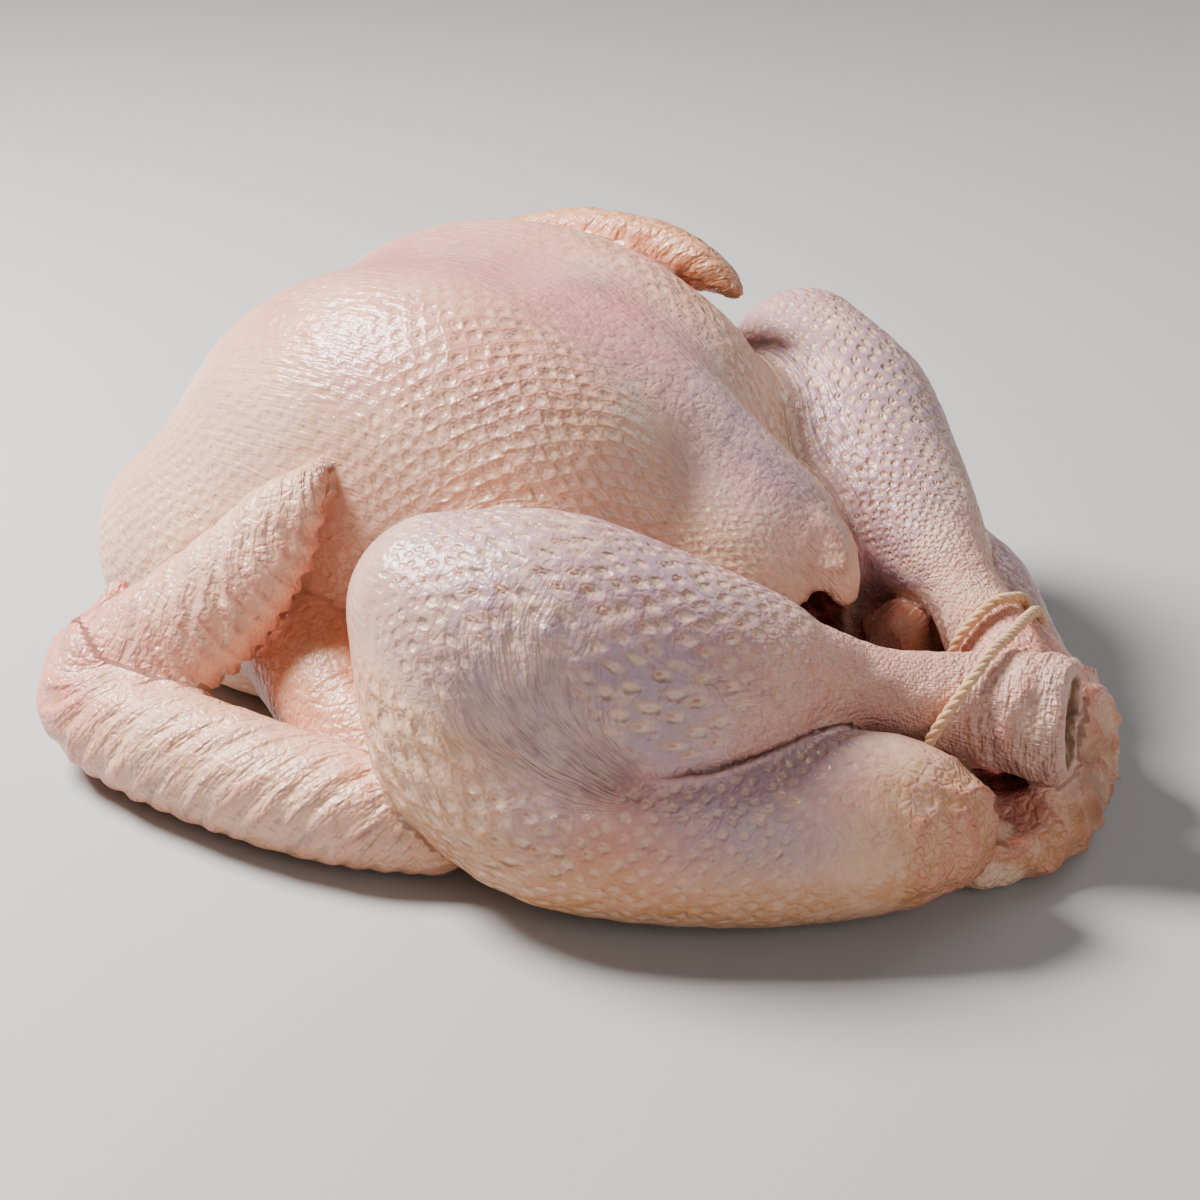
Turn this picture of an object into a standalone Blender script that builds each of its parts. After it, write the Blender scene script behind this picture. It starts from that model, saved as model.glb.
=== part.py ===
"""A whole raw turkey, lying on its back with its ankles tied together.

The bird is one carcass, built from soft round masses that melt into each other, and the
twine is one closed cord. Sizes are in millimetres until a mesh is made, when they become
metres. X runs from the neck to the tail, Y to the bird's far side and Z up. The bird's
mid-plane is Y = 0 and it lies on Z = 0.
"""
import bpy
import numpy as np
import openvdb

# driving dimensions, in millimetres
CELL = 4.5                 # spacing of the grid that the surface is read from
SLICES = 16                # of the grid that are filled at a time
FAR_AWAY = 50.0            # distance given to what lies outside the grid
SKIN_TRIANGLES = 11400     # of the finished carcass
GRID_LOW = (-268.0, -186.0, -9.0)
GRID_HIGH = (186.0, 186.0, 189.0)
BASE_CUT = 0.6             # taken off the underside, so that the bird lies on a true flat
GROUND_SIZE = 600.0
GROUND_DEPTH = 50.0
BOX_CENTRE = (-41.62, -9.12)   # middle of the bird's box, which becomes the origin

BREAST = ((-96, 32, 84), (106, 61, 80))      # middle and radii of the far half, mirrored
SHOULDER = ((-155, 36, 44), (86, 64, 52))    # the same, for the neck end
TRUNK = ((-80, 0, 50), (124, 93, 56))
BELLY = ((6, -4, 64), (46, 54, 42))
PELVIS = ((66, -2, 15), (90, 86, 26))
RUMP = ((120, -14, 12), (36, 42, 20))
TAIL = ((129, 22, 28), (20, 20, 25))

# limbs: rows of x, y, z and radius from the trunk outwards
KEEL = [(-60, 0, 140, 14), (-25, 0, 129, 14), (12, 0, 109, 14), (34, 0, 92, 13), (47, -1, 80, 10)]
FLAP = [(49, -3, 90, 6), (56, -5, 80, 6.5), (58, -6, 72, 5)]     # loose skin at the keel's tip
NEAR_THIGH = [(-28, -120, 82, 26), (-10, -127, 56, 37), (24, -127, 39, 36), (70, -108, 32, 31),
              (106, -80, 32, 30), (121, -69, 33, 24)]
FAR_THIGH = [(-28, 120, 82, 26), (-10, 115, 57, 34), (14, 100, 46, 34), (46, 76, 44, 29),
             (76, 62, 46, 22), (96, 60, 30, 16)]
NEAR_DRUMSTICK = [(-28, -122, 94, 27), (4, -115, 86, 42), (34, -100, 72, 44.5), (54, -79, 66, 36),
                  (67, -63, 63, 25), (88, -40, 58, 14.5), (108, -25, 53, 16.5), (126, -16, 50, 20.5),
                  (148, -8, 49, 21.5)]
FAR_DRUMSTICK = [(-30, 122, 97, 28), (-4, 100, 85, 38), (22, 75, 73, 38), (54, 56, 70, 25),
                 (80, 38, 64, 14.5), (98, 26, 53, 15), (112, 20, 49, 15.5), (120, 19, 45, 14.5),
                 (124, 19, 42, 13)]
ANKLE_CUT = ((147, -9, 49), (0.97, 0.23, 0.05))     # a point on the sawn end and its normal
ANKLE_HOLLOW = ((151, -8, 49), (11, 12, 16))
NEAR_HUMERUS = [(-128, -74, 46, 30), (-80, -108, 34, 22), (-30, -128, 22, 16)]
NEAR_FOREARM = [(-22, -138, 17, 15), (-50, -146, 20, 19), (-88, -150, 22, 21), (-130, -148, 22, 21),
                (-164, -142, 24, 20), (-172, -134, 32, 18)]
NEAR_HAND = [(-170, -136, 34, 18), (-148, -128, 46, 24), (-126, -117, 66, 23), (-113, -106, 86, 19),
             (-105, -99, 100, 12), (-100, -92, 112, 4)]
NEAR_THUMB = [(-178, -131, 32, 10), (-176, -126, 44, 8), (-172, -119, 58, 4.5)]
FAR_HUMERUS = [(-128, 74, 46, 30), (-88, 104, 34, 22), (-50, 124, 24, 16)]
FAR_FOREARM = [(-46, 128, 22, 15), (-66, 124, 38, 19), (-96, 115, 66, 21), (-128, 103, 98, 20),
               (-146, 96, 117, 18)]
FAR_HAND = [(-146, 95, 116, 18), (-131, 92, 130, 21), (-101, 86, 140, 21), (-73, 81, 145, 18),
            (-49, 76, 144, 12), (-35, 73, 140, 5)]
FAR_THUMB = [(-154, 92, 124, 9), (-153, 87, 133, 7), (-149, 82, 140, 4.5)]
HAND_THICKNESS = 0.55      # of its width
NEAR_HAND_NORMAL = (-0.15, -0.95, 0.25)
FAR_HAND_NORMAL = (0.0, 0.75, 0.66)

BODY_HOLLOW = [(-62, 0, 58, 26), (0, 0, 54, 27), (50, -2, 49, 26), (92, -4, 46, 25),
               (112, -4, 42, 20), (128, -18, 36, 14)]
VENT = ((100, 6, 46), (28, 46, 25))
DARK_MEAT = ((64, 27, 43), (13, 11, 12))      # a lump left inside the vent
SEAT = ((136, -38, 31), (19, 13, 14))         # the gap under the near ankle
FAT_BEADS = [(137, -50, 9, 6), (130, -46, 13, 7), (141, -43, 8, 6.5), (134, -39, 17, 6)]
LIMB_STEPS = 4             # spans of a limb between two of its rows

# widths of the fillets where one mass melts into the next
BREAST_FILLET = 30
SHOULDER_FILLET = 40
KEEL_FILLET = 18
BELLY_FILLET = 16
HIP_FILLET = 13
RUMP_FILLET = 10
JOINT_FILLET = 7
RIM_FILLET = 5
CREASE_FILLET = 3
KNEE_FILLET = 22           # where the skin is drawn over the knee, up to the first X below
KNEE_REACH = (2, 50)       # past the second X it is only CREASE_FILLET

# the twine, once round both ankles and once more round the far one
TWINE_RADIUS = 2.0
TWINE_GAP = 1.0            # between the cord and the skin
TWINE_SIDES = 3            # bevel resolution, which gives ten sides
TWINE_STEP = 4             # points on the cord between two of the rows below
TWINE_ROUNDS = 12          # of pushing the cord clear of the skin
PROBE = 0.5                # how far to either side the skin's slope is measured
TWINE_ROUTE = [
    (107, -25, 31), (108, -37, 35), (111, -45, 44), (116, -42, 57), (121, -30, 69), (121, -14, 72),
    (119, 4, 71), (116, 19, 68), (113, 33, 61), (113, 38, 48), (112, 31, 35), (106, 21, 34),
    (98, 12, 41), (94, 8, 51), (98, 11, 63), (103, 19, 70), (106, 29, 68), (104, 38, 59),
    (101, 41, 47), (98, 34, 35), (99, 24, 27), (102, 14, 25), (106, 2, 26), (108, -12, 28)]

COLOURS = {"turkey": (0.80, 0.58, 0.50), "twine": (0.72, 0.56, 0.36)}
ROUGHNESS = {"turkey": 0.45, "twine": 0.9}


def smooth_curve(rows, steps, closed=False):
    """Rows of numbers -> the same rows with `steps` points a span, on a Catmull-Rom curve."""
    rows = np.array(rows, float)
    if closed:
        rows = np.vstack([rows[-1], rows, rows[:2]])
    else:
        rows = np.vstack([2 * rows[0] - rows[1], rows, 2 * rows[-1] - rows[-2]])
    points = []
    for before, start, end, after in zip(rows, rows[1:], rows[2:], rows[3:]):
        for t in np.arange(steps) / steps:
            points.append(0.5 * (2 * start + (end - before) * t
                                 + (2 * before - 5 * start + 4 * end - after) * t ** 2
                                 + (3 * start - before - 3 * end + after) * t ** 3))
    if not closed:
        points.append(rows[-2])
    return np.array(points)


def blend(first, second, width):
    """The union of two distance fields, with a fillet about `width` wide."""
    share = np.clip(0.5 + 0.5 * (second - first) / width, 0, 1)
    return second + (first - second) * share - width * share * (1 - share)


def carve(solid, tool, width):
    """`solid` less `tool`, with the edge rounded over about `width`."""
    return -blend(-solid, tool, width)


def mass(at, middle, radii):
    """Distance from the points `at` to an ellipsoid, negative inside it."""
    offset = at - np.array(middle, np.float32)
    radii = np.array(radii, np.float32)
    scaled = np.sqrt(np.sum((offset / radii) ** 2, -1))
    slope = np.sqrt(np.sum((offset / radii ** 2) ** 2, -1)) + 1e-6
    return scaled * (scaled - 1) / slope


def limb(at, rows, normal=None, thickness=1.0):
    """Distance to a round limb of changing radius, pressed flat along `normal` if one is given."""
    path = smooth_curve(rows, LIMB_STEPS)
    middles, radii = path[:, :3], path[:, 3]
    if normal is not None:
        normal = np.array(normal) / np.linalg.norm(normal)
        stretch = 1 / thickness - 1
        middles = middles + stretch * (middles @ normal)[:, None] * normal
        normal = normal.astype(np.float32)
        at = at + (np.float32(stretch) * (at @ normal))[..., None] * normal
    nearest = None
    for start, end, first, last in zip(middles, middles[1:], radii, radii[1:]):
        along = (end - start).astype(np.float32)
        offset = at - start.astype(np.float32)
        share = np.clip(offset @ along / float(along @ along), 0, 1)
        offset = offset - share[..., None] * along
        distance = np.sqrt(np.einsum("...i,...i", offset, offset)) - np.float32(first)
        distance -= share * np.float32(last - first)
        nearest = distance if nearest is None else np.minimum(nearest, distance)
    return nearest


def both_sides(at, middle, radii, width):
    """An ellipsoid and its mirror image across the bird's mid-plane."""
    x, y, z = middle
    return blend(mass(at, (x, y, z), radii), mass(at, (x, -y, z), radii), width)


def trunk(at):
    field = both_sides(at, *BREAST, width=BREAST_FILLET)
    field = blend(field, both_sides(at, *SHOULDER, width=SHOULDER_FILLET), BREAST_FILLET)
    field = blend(field, mass(at, *TRUNK), HIP_FILLET)
    field = blend(field, limb(at, KEEL), KEEL_FILLET)
    field = blend(field, mass(at, *BELLY), BELLY_FILLET)
    field = blend(field, mass(at, *PELVIS), HIP_FILLET)
    field = blend(field, mass(at, *RUMP), RUMP_FILLET)
    field = blend(field, mass(at, *TAIL), JOINT_FILLET)
    field = carve(field, limb(at, BODY_HOLLOW), RIM_FILLET)
    field = carve(field, mass(at, *VENT), RIM_FILLET)
    field = blend(field, limb(at, FLAP), RIM_FILLET)
    return blend(field, mass(at, *DARK_MEAT), RIM_FILLET)


def knee_fillet(at):
    """The fillet round a drumstick: broad over the knee, narrow where the leg is creased."""
    start, end = KNEE_REACH
    share = np.clip((at[..., 0] - start) / (end - start), 0, 1)
    return KNEE_FILLET + (CREASE_FILLET - KNEE_FILLET) * share


def near_shank(at):
    """The near drumstick, sawn off at the ankle, with the hollow of the bone in its end."""
    point, normal = ANKLE_CUT
    normal = np.array(normal, np.float32) / np.linalg.norm(normal).astype(np.float32)
    beyond = (at - np.array(point, np.float32)) @ normal
    sawn = carve(limb(at, NEAR_DRUMSTICK), -beyond, CREASE_FILLET)
    return carve(sawn, mass(at, *ANKLE_HOLLOW), CREASE_FILLET)


def wing(at, humerus, forearm, hand, thumb, normal):
    outer = blend(limb(at, forearm), limb(at, hand, normal, HAND_THICKNESS), JOINT_FILLET)
    return limb(at, humerus), blend(outer, limb(at, thumb), CREASE_FILLET)


def bird(at):
    """The carcass as one field of distances, cut off level where it lies."""
    field = blend(trunk(at), limb(at, NEAR_THIGH), HIP_FILLET)
    field = blend(field, limb(at, FAR_THIGH), HIP_FILLET)
    field = carve(field, mass(at, *SEAT), RIM_FILLET)
    field = blend(field, near_shank(at), knee_fillet(at))
    field = blend(field, limb(at, FAR_DRUMSTICK), knee_fillet(at))
    for parts in ((NEAR_HUMERUS, NEAR_FOREARM, NEAR_HAND, NEAR_THUMB, NEAR_HAND_NORMAL),
                  (FAR_HUMERUS, FAR_FOREARM, FAR_HAND, FAR_THUMB, FAR_HAND_NORMAL)):
        upper, outer = wing(at, *parts)
        field = blend(blend(field, upper, JOINT_FILLET), outer, CREASE_FILLET)
    for x, y, z, radius in FAT_BEADS:
        field = blend(field, mass(at, (x, y, z), (radius, radius, radius)), CREASE_FILLET)
    return carve(field, at[..., 2], JOINT_FILLET)


def placed(points):
    """Millimetres in the bird's own axes -> metres, with the origin under the box's middle."""
    return (np.asarray(points) - (*BOX_CENTRE, BASE_CUT)) / 1000


def material(name):
    made = bpy.data.materials.new(name)
    made.use_nodes = True
    shader = made.node_tree.nodes["Principled BSDF"]
    shader.inputs["Base Color"].default_value = (*COLOURS[name], 1)
    shader.inputs["Roughness"].default_value = ROUGHNESS[name]
    return made


def add_object(name, data):
    made = bpy.data.objects.new(name, data)
    bpy.context.scene.collection.objects.link(made)
    return made


def surface(field, low, high, cell):
    """The surface where `field` is nil, as points and four-sided faces that look outwards."""
    axes = [np.arange(start, end, cell, dtype=np.float32) for start, end in zip(low, high)]
    values = np.empty([len(axis) for axis in axes], np.float32)
    for index in range(0, len(axes[0]), SLICES):
        block = np.meshgrid(axes[0][index:index + SLICES], axes[1], axes[2], indexing="ij")
        values[index:index + SLICES] = field(np.stack(block, -1))
    grid = openvdb.FloatGrid(background=FAR_AWAY)
    grid.copyFromArray(values)
    points, faces = grid.convertToQuads(0.0)
    return points * cell + np.array(low), faces[:, ::-1]


def outer_skin(points, faces):
    """Leaves out the walls of closed pockets between the limbs and the trunk."""
    piece = np.arange(len(points))
    while True:
        lowest = piece[faces].min(1)
        joined = piece.copy()
        np.minimum.at(joined, faces.ravel(), np.repeat(lowest, 4))
        joined = joined[joined]
        if np.array_equal(joined, piece):
            break
        piece = joined
    kept = piece == piece[np.argmax(points[:, 2])]
    renumbered = np.cumsum(kept) - 1
    return points[kept], renumbered[faces[kept[faces[:, 0]]]]


def make_turkey():
    points, faces = outer_skin(*surface(bird, GRID_LOW, GRID_HIGH, CELL))
    mesh = bpy.data.meshes.new("turkey")
    mesh.from_pydata(placed(points).tolist(), [], faces.tolist())
    mesh.materials.append(material("turkey"))
    mesh.shade_smooth()
    turkey = add_object("turkey", mesh)
    fewer = turkey.modifiers.new("fewer faces", "DECIMATE")
    fewer.ratio = SKIN_TRIANGLES / (2 * len(faces))
    level = turkey.modifiers.new("level base", "BOOLEAN")
    level.operation = "DIFFERENCE"
    level.object = make_ground()
    return turkey


def make_ground():
    """A slab whose top is where the bird lies; it only cuts."""
    reach = GROUND_SIZE / 2000
    corners = [(x * reach, y * reach, z) for z in (-GROUND_DEPTH / 1000, 0) for x, y in
               ((-1, -1), (1, -1), (1, 1), (-1, 1))]
    faces = [(3, 2, 1, 0), (4, 5, 6, 7)] + [(i, (i + 1) % 4, (i + 1) % 4 + 4, i + 4) for i in range(4)]
    mesh = bpy.data.meshes.new("ground")
    mesh.from_pydata(corners, [], faces)
    ground = add_object("ground", mesh)
    ground.hide_render = True
    ground.display_type = "WIRE"
    return ground


def resting(points, clearance):
    """Moves points that are too near the skin straight away from it."""
    points = np.array(points, np.float32)
    for _ in range(TWINE_ROUNDS):
        distance = bird(points)
        slope = np.stack([bird(points + PROBE * axis) - bird(points - PROBE * axis)
                          for axis in np.eye(3, dtype=np.float32)], -1)
        slope /= np.linalg.norm(slope, axis=-1, keepdims=True) + 1e-6
        points = points + np.maximum(clearance - distance, 0)[:, None] * slope
    return points


def make_twine():
    path = resting(smooth_curve(TWINE_ROUTE, TWINE_STEP, closed=True), TWINE_RADIUS + TWINE_GAP)
    curve = bpy.data.curves.new("twine", "CURVE")
    curve.dimensions = "3D"
    curve.bevel_depth = TWINE_RADIUS / 1000
    curve.bevel_resolution = TWINE_SIDES
    spline = curve.splines.new("POLY")
    spline.points.add(len(path) - 1)
    for point, place in zip(spline.points, placed(path)):
        point.co = (*place, 1)
    spline.use_cyclic_u = True
    curve.materials.append(material("twine"))
    return add_object("twine", curve)


for old in list(bpy.data.objects):
    bpy.data.objects.remove(old)
make_turkey()
make_twine()
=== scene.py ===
# %% [markdown]
# # A whole raw turkey
#
# A dressed bird lies on its back with its drumsticks crossed over the open body cavity and
# its ankles tied with kitchen twine. Almost everything on it is one skin, so this lesson
# grows that skin as a single surface, marks out its regions with attributes, raises its
# follicles and folds with Geometry Nodes, and paints it with one layered material. The
# twine is the only separate piece.

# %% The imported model
import itertools
import math

import bpy
import numpy as np
import openvdb
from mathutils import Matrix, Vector


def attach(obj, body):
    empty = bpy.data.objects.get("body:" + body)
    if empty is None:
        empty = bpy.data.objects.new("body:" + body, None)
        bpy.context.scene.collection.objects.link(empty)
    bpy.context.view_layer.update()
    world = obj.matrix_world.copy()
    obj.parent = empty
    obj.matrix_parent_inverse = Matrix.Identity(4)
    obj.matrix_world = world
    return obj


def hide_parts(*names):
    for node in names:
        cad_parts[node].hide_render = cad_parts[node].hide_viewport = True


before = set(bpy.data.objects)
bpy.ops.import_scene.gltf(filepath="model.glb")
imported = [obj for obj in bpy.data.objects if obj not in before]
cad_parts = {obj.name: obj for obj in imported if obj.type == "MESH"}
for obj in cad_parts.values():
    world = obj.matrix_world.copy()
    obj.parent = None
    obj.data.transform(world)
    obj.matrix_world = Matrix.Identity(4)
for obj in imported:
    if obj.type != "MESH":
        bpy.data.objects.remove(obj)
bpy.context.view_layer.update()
print("solids:", sorted(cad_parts))

# %% [markdown]
# ## From the bird's own axes to the model's
#
# The bird is easiest to think about on its own mid-plane: X runs from neck to tail, Y to
# its far side, Z up, in millimetres. The model's origin lies under the middle of its box,
# so every finished point is moved there and turned into metres.

# %% Axes
BOX_CENTRE = (-41.62, -9.12)
BASE_CUT = 0.6


def placed(points):
    """Millimetres in the bird's own axes -> metres in the model's frame."""
    return (np.asarray(points) - (*BOX_CENTRE, BASE_CUT)) / 1000


# %% [markdown]
# ## Round masses
#
# Meat under skin has no edges, so polygons pulled about by hand would be slow to make
# smooth. A distance field does it at once: each mass is a formula that says how far a point
# is from it, and a soft minimum melts two masses together with a fillet of a chosen width.
# A wide fillet gives the breast's broad swell, and a narrow one the crease between a
# drumstick and its thigh.

# %% Fields for masses and limbs
LIMB_STEPS = 4


def smooth_curve(rows, steps, closed=False):
    """Rows of numbers -> the same rows with `steps` points a span, on a Catmull-Rom curve."""
    rows = np.array(rows, float)
    if closed:
        rows = np.vstack([rows[-1], rows, rows[:2]])
    else:
        rows = np.vstack([2 * rows[0] - rows[1], rows, 2 * rows[-1] - rows[-2]])
    points = []
    for before, start, end, after in zip(rows, rows[1:], rows[2:], rows[3:]):
        for t in np.arange(steps) / steps:
            points.append(0.5 * (2 * start + (end - before) * t
                                 + (2 * before - 5 * start + 4 * end - after) * t ** 2
                                 + (3 * start - before - 3 * end + after) * t ** 3))
    if not closed:
        points.append(rows[-2])
    return np.array(points)


def blend(first, second, width):
    """The union of two distance fields, with a fillet about `width` wide."""
    share = np.clip(0.5 + 0.5 * (second - first) / width, 0, 1)
    return second + (first - second) * share - width * share * (1 - share)


def carve(solid, tool, width):
    """`solid` less `tool`, with the edge rounded over about `width`."""
    return -blend(-solid, tool, width)


def mass(at, middle, radii):
    """Distance from the points `at` to an ellipsoid, negative inside it."""
    offset = at - np.array(middle, np.float32)
    radii = np.array(radii, np.float32)
    scaled = np.sqrt(np.sum((offset / radii) ** 2, -1))
    slope = np.sqrt(np.sum((offset / radii ** 2) ** 2, -1)) + 1e-6
    return scaled * (scaled - 1) / slope


def limb(at, rows, normal=None, thickness=1.0):
    """Distance to a round limb of changing radius, pressed flat along `normal` if one is given."""
    path = smooth_curve(rows, LIMB_STEPS)
    middles, radii = path[:, :3], path[:, 3]
    if normal is not None:
        normal = np.array(normal) / np.linalg.norm(normal)
        stretch = 1 / thickness - 1
        middles = middles + stretch * (middles @ normal)[:, None] * normal
        normal = normal.astype(np.float32)
        at = at + (np.float32(stretch) * (at @ normal))[..., None] * normal
    nearest = None
    for start, end, first, last in zip(middles, middles[1:], radii, radii[1:]):
        along = (end - start).astype(np.float32)
        offset = at - start.astype(np.float32)
        share = np.clip(offset @ along / float(along @ along), 0, 1)
        offset = offset - share[..., None] * along
        distance = np.sqrt(np.einsum("...i,...i", offset, offset)) - np.float32(first)
        distance -= share * np.float32(last - first)
        nearest = distance if nearest is None else np.minimum(nearest, distance)
    return nearest


def both_sides(at, middle, radii, width):
    """An ellipsoid and its mirror image across the bird's mid-plane."""
    x, y, z = middle
    return blend(mass(at, (x, y, z), radii), mass(at, (x, -y, z), radii), width)


# %% [markdown]
# ## The trunk
#
# Two big breast muscles meet at the keel, the shoulders fill the neck end, and the belly
# narrows to the cut opening under the keel's tip, where a finger of loose skin hangs. The
# hollow is carved out last, and a lump of dark meat stays in it. Yellow-white fat gathers
# in small beads beside the tail.

# %% Trunk
BREAST = ((-96, 32, 84), (106, 61, 80))
SHOULDER = ((-155, 36, 44), (86, 64, 52))
TRUNK = ((-80, 0, 50), (124, 93, 56))
BELLY = ((6, -4, 64), (46, 54, 42))
PELVIS = ((66, -2, 15), (90, 86, 26))
RUMP = ((120, -14, 12), (36, 42, 20))
TAIL = ((129, 22, 28), (20, 20, 25))
KEEL = [(-60, 0, 140, 14), (-25, 0, 129, 14), (12, 0, 109, 14), (34, 0, 92, 13), (47, -1, 80, 10)]
FLAP = [(49, -3, 90, 6), (56, -5, 80, 6.5), (58, -6, 72, 5)]
BODY_HOLLOW = [(-62, 0, 58, 26), (0, 0, 54, 27), (50, -2, 49, 26), (92, -4, 46, 25),
               (112, -4, 42, 20), (128, -18, 36, 14)]
VENT = ((100, 6, 46), (28, 46, 25))
DARK_MEAT = ((64, 27, 43), (13, 11, 12))

BREAST_FILLET = 30
SHOULDER_FILLET = 40
KEEL_FILLET = 18
BELLY_FILLET = 16
HIP_FILLET = 13
RUMP_FILLET = 10
JOINT_FILLET = 7
RIM_FILLET = 5
CREASE_FILLET = 3


def trunk(at):
    field = both_sides(at, *BREAST, width=BREAST_FILLET)
    field = blend(field, both_sides(at, *SHOULDER, width=SHOULDER_FILLET), BREAST_FILLET)
    field = blend(field, mass(at, *TRUNK), HIP_FILLET)
    field = blend(field, limb(at, KEEL), KEEL_FILLET)
    field = blend(field, mass(at, *BELLY), BELLY_FILLET)
    field = blend(field, mass(at, *PELVIS), HIP_FILLET)
    field = blend(field, mass(at, *RUMP), RUMP_FILLET)
    field = blend(field, mass(at, *TAIL), JOINT_FILLET)
    field = carve(field, limb(at, BODY_HOLLOW), RIM_FILLET)
    field = carve(field, mass(at, *VENT), RIM_FILLET)
    field = blend(field, limb(at, FLAP), RIM_FILLET)
    return blend(field, mass(at, *DARK_MEAT), RIM_FILLET)


# %% [markdown]
# ## Legs and wings
#
# Every limb is a chain of round cones along a smooth path, given as rows of x, y, z and
# radius. A drumstick swells below the knee and runs down to a thin shank with a knob at
# its sawn end. A wing is a humerus, a forearm, a flat hand and a small thumb; the hand is
# the same chain pressed to half its width. One wing lies on the ground and the other is
# folded up against the breast.

# %% Limbs
NEAR_THIGH = [(-28, -120, 82, 26), (-10, -127, 56, 37), (24, -127, 39, 36), (70, -108, 32, 31),
              (106, -80, 32, 30), (121, -69, 33, 24)]
FAR_THIGH = [(-28, 120, 82, 26), (-10, 115, 57, 34), (14, 100, 46, 34), (46, 76, 44, 29),
             (76, 62, 46, 22), (96, 60, 30, 16)]
NEAR_DRUMSTICK = [(-28, -122, 94, 27), (4, -115, 86, 42), (34, -100, 72, 44.5), (54, -79, 66, 36),
                  (67, -63, 63, 25), (88, -40, 58, 14.5), (108, -25, 53, 16.5), (126, -16, 50, 20.5),
                  (148, -8, 49, 21.5)]
FAR_DRUMSTICK = [(-30, 122, 97, 28), (-4, 100, 85, 38), (22, 75, 73, 38), (54, 56, 70, 25),
                 (80, 38, 64, 14.5), (98, 26, 53, 15), (112, 20, 49, 15.5), (120, 19, 45, 14.5),
                 (124, 19, 42, 13)]
ANKLE_CUT = ((147, -9, 49), (0.97, 0.23, 0.05))
ANKLE_HOLLOW = ((151, -8, 49), (11, 12, 16))
SEAT = ((136, -38, 31), (19, 13, 14))
NEAR_HUMERUS = [(-128, -74, 46, 30), (-80, -108, 34, 22), (-30, -128, 22, 16)]
NEAR_FOREARM = [(-22, -138, 17, 15), (-50, -146, 20, 19), (-88, -150, 22, 21), (-130, -148, 22, 21),
                (-164, -142, 24, 20), (-172, -134, 32, 18)]
NEAR_HAND = [(-170, -136, 34, 18), (-148, -128, 46, 24), (-126, -117, 66, 23), (-113, -106, 86, 19),
             (-105, -99, 100, 12), (-100, -92, 112, 4)]
NEAR_THUMB = [(-178, -131, 32, 10), (-176, -126, 44, 8), (-172, -119, 58, 4.5)]
FAR_HUMERUS = [(-128, 74, 46, 30), (-88, 104, 34, 22), (-50, 124, 24, 16)]
FAR_FOREARM = [(-46, 128, 22, 15), (-66, 124, 38, 19), (-96, 115, 66, 21), (-128, 103, 98, 20),
               (-146, 96, 117, 18)]
FAR_HAND = [(-146, 95, 116, 18), (-131, 92, 130, 21), (-101, 86, 140, 21), (-73, 81, 145, 18),
            (-49, 76, 144, 12), (-35, 73, 140, 5)]
FAR_THUMB = [(-154, 92, 124, 9), (-153, 87, 133, 7), (-149, 82, 140, 4.5)]
HAND_THICKNESS = 0.55
NEAR_HAND_NORMAL = (-0.15, -0.95, 0.25)
FAR_HAND_NORMAL = (0.0, 0.75, 0.66)
FAT_BEADS = [(137, -50, 9, 6), (130, -46, 13, 7), (141, -43, 8, 6.5), (134, -39, 17, 6)]
KNEE_FILLET = 22
KNEE_REACH = (2, 50)


def near_shank(at):
    """The near drumstick, sawn off at the ankle, with the hollow of the bone in its end."""
    point, normal = ANKLE_CUT
    normal = np.array(normal, np.float32) / np.linalg.norm(normal).astype(np.float32)
    beyond = (at - np.array(point, np.float32)) @ normal
    sawn = carve(limb(at, NEAR_DRUMSTICK), -beyond, CREASE_FILLET)
    return carve(sawn, mass(at, *ANKLE_HOLLOW), CREASE_FILLET)


def knee_fillet(at):
    """The fillet round a drumstick: broad over the knee, narrow where the leg is creased."""
    start, end = KNEE_REACH
    share = np.clip((at[..., 0] - start) / (end - start), 0, 1)
    return KNEE_FILLET + (CREASE_FILLET - KNEE_FILLET) * share


REGIONS = {
    "trunk": trunk,
    "near_thigh": lambda at: limb(at, NEAR_THIGH),
    "far_thigh": lambda at: limb(at, FAR_THIGH),
    "near_drumstick": near_shank,
    "far_drumstick": lambda at: limb(at, FAR_DRUMSTICK),
    "near_humerus": lambda at: limb(at, NEAR_HUMERUS),
    "near_forearm": lambda at: limb(at, NEAR_FOREARM),
    "near_hand": lambda at: limb(at, NEAR_HAND, NEAR_HAND_NORMAL, HAND_THICKNESS),
    "near_thumb": lambda at: limb(at, NEAR_THUMB),
    "far_humerus": lambda at: limb(at, FAR_HUMERUS),
    "far_forearm": lambda at: limb(at, FAR_FOREARM),
    "far_hand": lambda at: limb(at, FAR_HAND, FAR_HAND_NORMAL, HAND_THICKNESS),
    "far_thumb": lambda at: limb(at, FAR_THUMB),
}
print("regions of skin:", len(REGIONS))


def bird(at):
    """The whole carcass from its regions' fields, cut off level where it lies."""
    parts = {name: region(at) for name, region in REGIONS.items()}
    field = blend(parts["trunk"], parts["near_thigh"], HIP_FILLET)
    field = blend(field, parts["far_thigh"], HIP_FILLET)
    field = carve(field, mass(at, *SEAT), RIM_FILLET)
    field = blend(field, parts["near_drumstick"], knee_fillet(at))
    field = blend(field, parts["far_drumstick"], knee_fillet(at))
    for side in ("near", "far"):
        outer = blend(parts[f"{side}_forearm"], parts[f"{side}_hand"], JOINT_FILLET)
        outer = blend(outer, parts[f"{side}_thumb"], CREASE_FILLET)
        field = blend(blend(field, parts[f"{side}_humerus"], JOINT_FILLET), outer, CREASE_FILLET)
    for x, y, z, radius in FAT_BEADS:
        field = blend(field, mass(at, (x, y, z), (radius, radius, radius)), CREASE_FILLET)
    return carve(field, at[..., 2] - np.float32(BASE_CUT), RIM_FILLET)


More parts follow.
